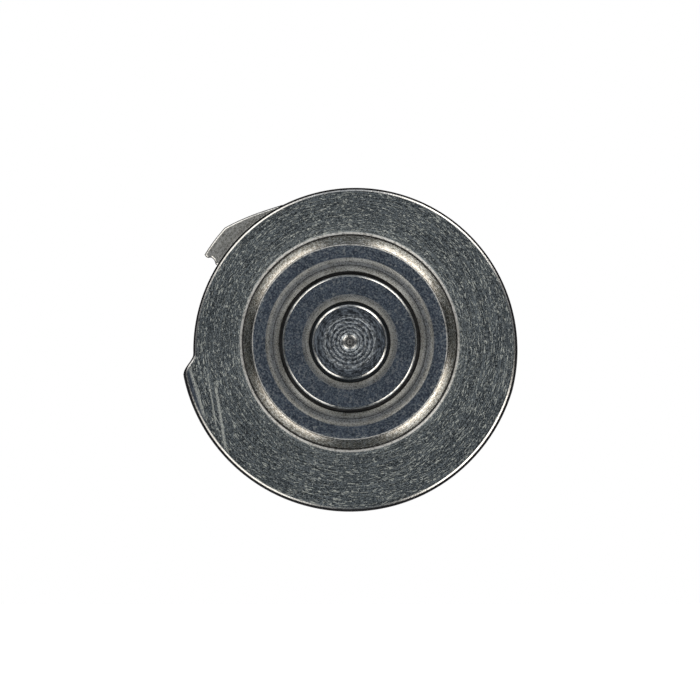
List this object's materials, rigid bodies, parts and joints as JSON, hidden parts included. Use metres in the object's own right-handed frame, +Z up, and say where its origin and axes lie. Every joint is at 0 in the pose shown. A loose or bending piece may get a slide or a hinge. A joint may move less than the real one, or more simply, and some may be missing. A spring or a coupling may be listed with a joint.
{
  "type": "rotary hook bobbin case",
  "caption": "Rotary sewing hook seen from its stepped drive hub, with a hook point on its rim, carrying a case base, a latched bobbin case and a bobbin.",
  "frame": {"origin": "on the hook's axis, in the plane of the flange's turned face", "axes": "+Y along the hook's axis from the drive side to the latch side, +Z up, +X to the right seen from the drive side"},
  "size_m": [0.0335, 0.0232, 0.0324],
  "materials": {
    "turned_steel": "dark grey steel with fine circular turning marks",
    "polished_steel": "burnished blue-grey steel with bright chamfers",
    "ground_steel": "warm grey ground steel",
    "plated_steel": "satin plated steel",
    "spring_steel": "tempered spring steel",
    "screw_steel": "machined screw steel"
  },
  "bodies": {
    "hook": {"hook_body": "turned_steel", "hook_shaft": "polished_steel", "hub_bush": "polished_steel", "hook_point": "ground_steel", "retaining_ring": "ground_steel", "ring_screw_1": "screw_steel", "ring_screw_2": "screw_steel", "ring_screw_3": "screw_steel"},
    "case": {"case_base": "turned_steel", "bobbin_stud": "polished_steel", "case_shell": "plated_steel", "case_tube": "plated_steel", "tension_spring": "spring_steel", "leaf_fixing_screw": "screw_steel", "latch_pin": "polished_steel", "latch_spring": "spring_steel", "anti_spin_washer": "spring_steel"},
    "bobbin": {"bobbin_tube": "plated_steel", "bobbin_flange_rear": "plated_steel", "bobbin_flange_front": "plated_steel"},
    "lever": {"latch_lever": "plated_steel"},
    "slide_plate": {"latch_slide": "spring_steel"},
    "tension_adjuster": {"tension_screw": "screw_steel"}
  },
  "joints": [
    {"name": "hook_turn", "type": "hinge", "parent": "hook", "child": "case", "pos_m": [0, 0, 0], "axis": [0, 1, 0], "continuous": true},
    {"name": "bobbin_spin", "type": "hinge", "parent": "case", "child": "bobbin", "pos_m": [0, 0.0085, 0], "axis": [0, 1, 0], "continuous": true},
    {"name": "latch_swing", "type": "hinge", "parent": "case", "child": "lever", "pos_m": [0, 0.01525, 0.0079], "axis": [1, 0, 0], "range_deg": [0, 75], "stiffness_Nm_per_rad": 0.002, "springref_deg": -17.19},
    {"name": "latch_slide_travel", "type": "slide", "parent": "case", "child": "slide_plate", "axis": [0, 0, -1], "range_m": [0, 0.0017], "deforming": ["latch_spring"]},
    {"name": "tension_turn", "type": "hinge", "parent": "case", "child": "tension_adjuster", "pos_m": [-0.00892, 0.0141, -0.00803], "axis": [-0.7431, 0, -0.6691], "range_deg": [-180, 180]}
  ],
  "couplings": [
    {"joint": "latch_slide_travel", "follows": "latch_swing", "m_per_rad": 0.001298}
  ]
}
